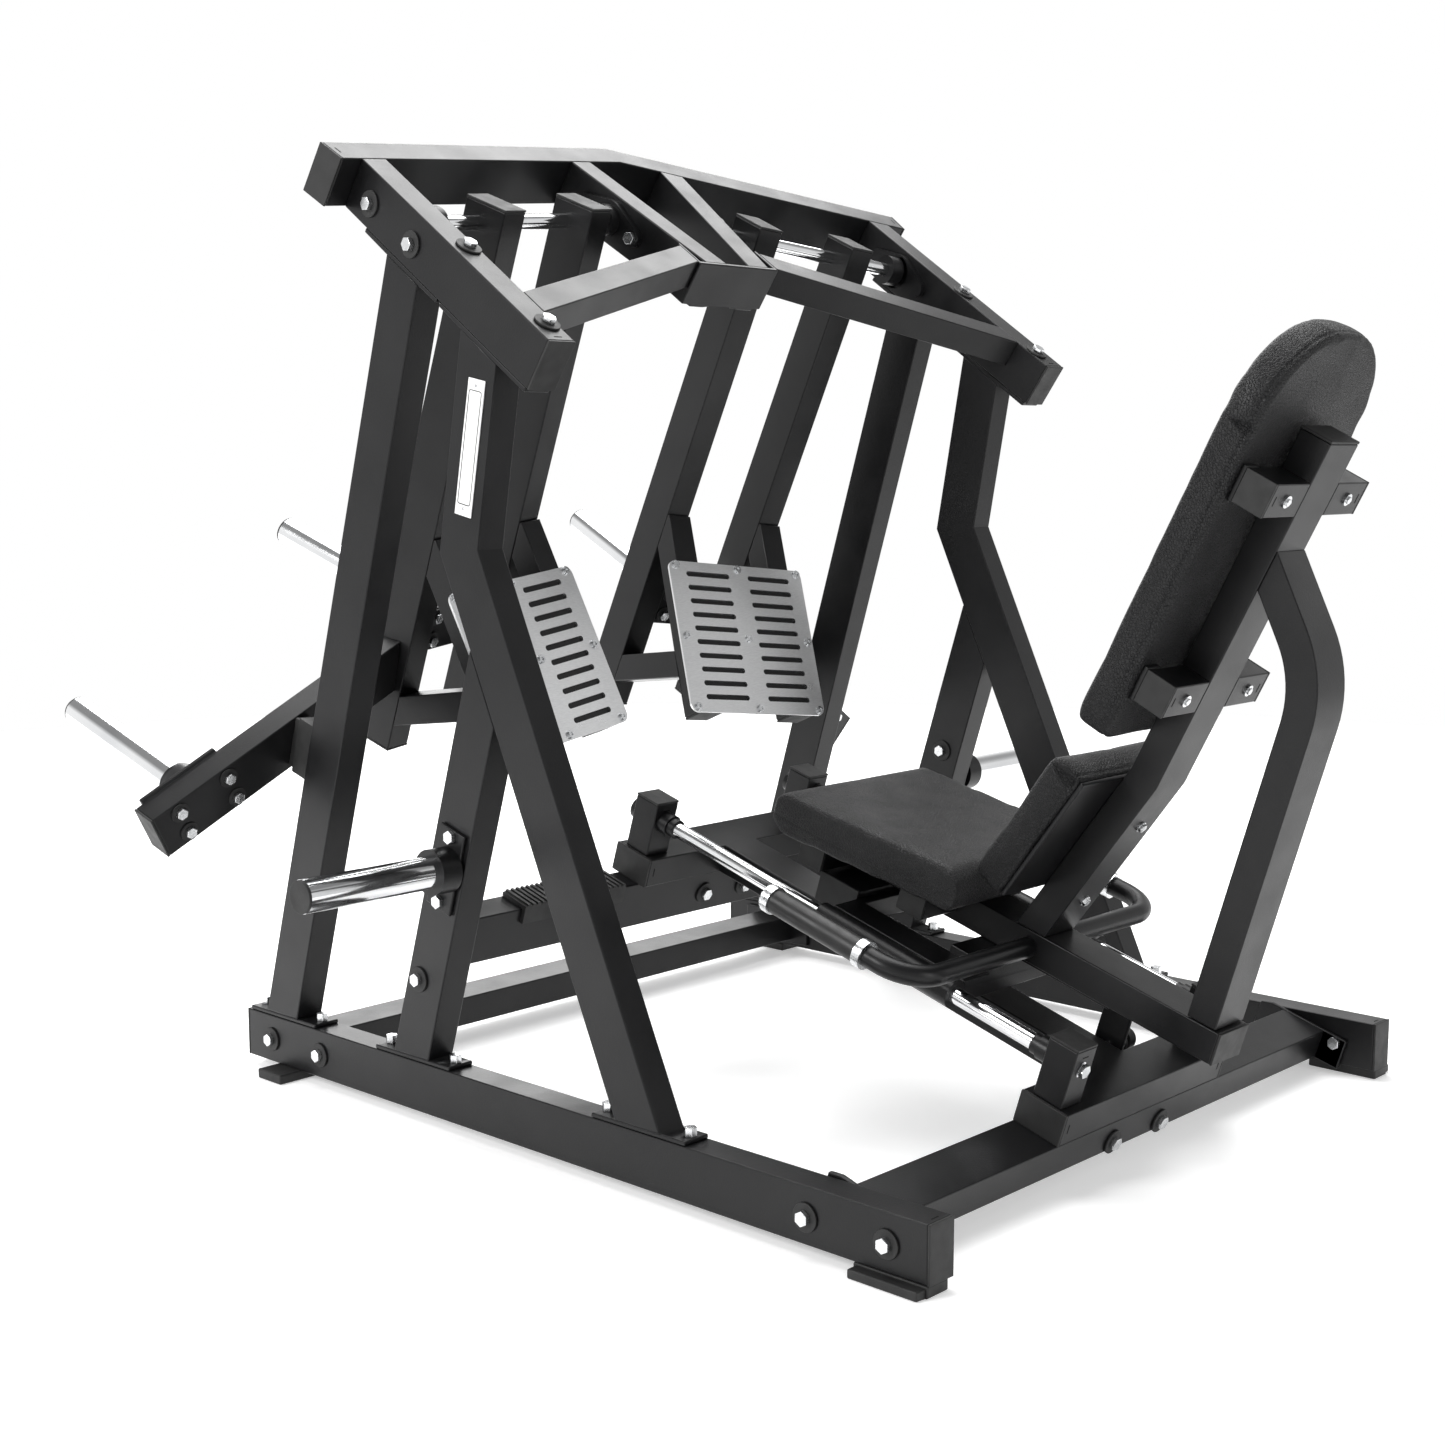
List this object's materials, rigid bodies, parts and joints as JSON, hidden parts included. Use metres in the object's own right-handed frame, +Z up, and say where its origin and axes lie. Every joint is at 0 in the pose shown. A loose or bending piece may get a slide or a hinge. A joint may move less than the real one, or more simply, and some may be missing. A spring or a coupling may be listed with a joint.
{
  "type": "leg press machine",
  "caption": "Plate-loaded leg press with hanging independent press arms, brushed foot plates, weight horns and a reclined padded seat that slides on inclined guide rods.",
  "frame": {"origin": "centre of the footprint's bounding box, on the floor", "axes": "+X to the rider's right, across the width; +Y from the seat end to the weight end, the way the rider presses; +Z up"},
  "size_m": [1.814, 1.9636, 1.5669],
  "materials": {
    "black_coat": "fine-textured satin powder coat",
    "brushed_plate": "brushed stainless",
    "zinc_fasteners": "satin stainless fasteners",
    "chrome_steel": "polished chrome",
    "black_rubber": "matte moulded rubber",
    "grip_rubber": "soft ribbed grip rubber",
    "ring_aluminium": "turned aluminium",
    "knob_plastic": "moulded plastic",
    "black_vinyl": "grained upholstery vinyl"
  },
  "bodies": {
    "frame": {"rails": "black_coat", "floor_beams": "black_coat", "raised_beam": "black_coat", "front_legs": "black_coat", "middle_legs": "black_coat", "rear_legs": "black_coat", "side_beams": "black_coat", "rear_header": "black_coat", "pivot_carrier": "black_coat", "front_braces": "black_coat", "pivot_bearings": "black_coat", "rubber_feet": "black_rubber", "frame_caps": "black_rubber", "frame_bolts": "zinc_fasteners", "frame_washers": "black_rubber", "storage_mounts": "black_coat", "storage_horns": "chrome_steel", "name_plate": "ring_aluminium", "stop_bumpers": "black_rubber", "ribbed_pad": "black_rubber", "seat_rail_frame": "black_coat", "rod_posts": "black_coat", "guide_rods": "chrome_steel", "rod_collars": "black_coat"},
    "arm_right": {"arm_tubes_r": "black_coat", "foot_frame_r": "black_coat", "foot_plate_r": "brushed_plate", "plate_screws_r": "zinc_fasteners", "outrigger_r": "black_coat", "horns_r": "chrome_steel", "arm_caps_r": "black_rubber", "arm_shaft_r": "chrome_steel", "arm_bolts_r": "zinc_fasteners"},
    "arm_left": {"arm_tubes_l": "black_coat", "foot_frame_l": "black_coat", "foot_plate_l": "brushed_plate", "plate_screws_l": "zinc_fasteners", "outrigger_l": "black_coat", "horns_l": "chrome_steel", "arm_caps_l": "black_rubber", "arm_shaft_l": "chrome_steel", "arm_bolts_l": "zinc_fasteners"},
    "carriage": {"carriage_beam": "black_coat", "carriage_base": "black_coat", "rod_sleeves": "black_coat", "handles": "black_coat", "grips": "grip_rubber", "grip_rings": "ring_aluminium", "back_post": "black_coat", "back_strut": "black_coat", "pad_tubes": "black_coat", "pad_screws": "zinc_fasteners", "carriage_caps": "black_rubber", "seat_pad": "black_vinyl", "lumbar_pad": "black_vinyl", "back_pad": "black_vinyl"},
    "pull_pin": {"pin_shaft": "chrome_steel", "pin_knob": "knob_plastic"}
  },
  "joints": [
    {"name": "right_press", "type": "hinge", "parent": "frame", "child": "arm_right", "pos_m": [0, 0.32868, 1.4371], "axis": [0.9836, -0.1486, -0.1025], "range_deg": [0, 35]},
    {"name": "left_press", "type": "hinge", "parent": "frame", "child": "arm_left", "pos_m": [0, 0.32868, 1.4371], "axis": [0.9836, 0.1486, 0.1025], "range_deg": [0, 35]},
    {"name": "seat_slide", "type": "slide", "parent": "frame", "child": "carriage", "axis": [0, 0.9563, 0.2924], "range_m": [0, 0.24]},
    {"name": "pin_pull", "type": "slide", "parent": "carriage", "child": "pull_pin", "axis": [1, 0, 0], "range_m": [0, 0.02], "stiffness_N_per_m": 800, "springref_m": -0.01}
  ]
}
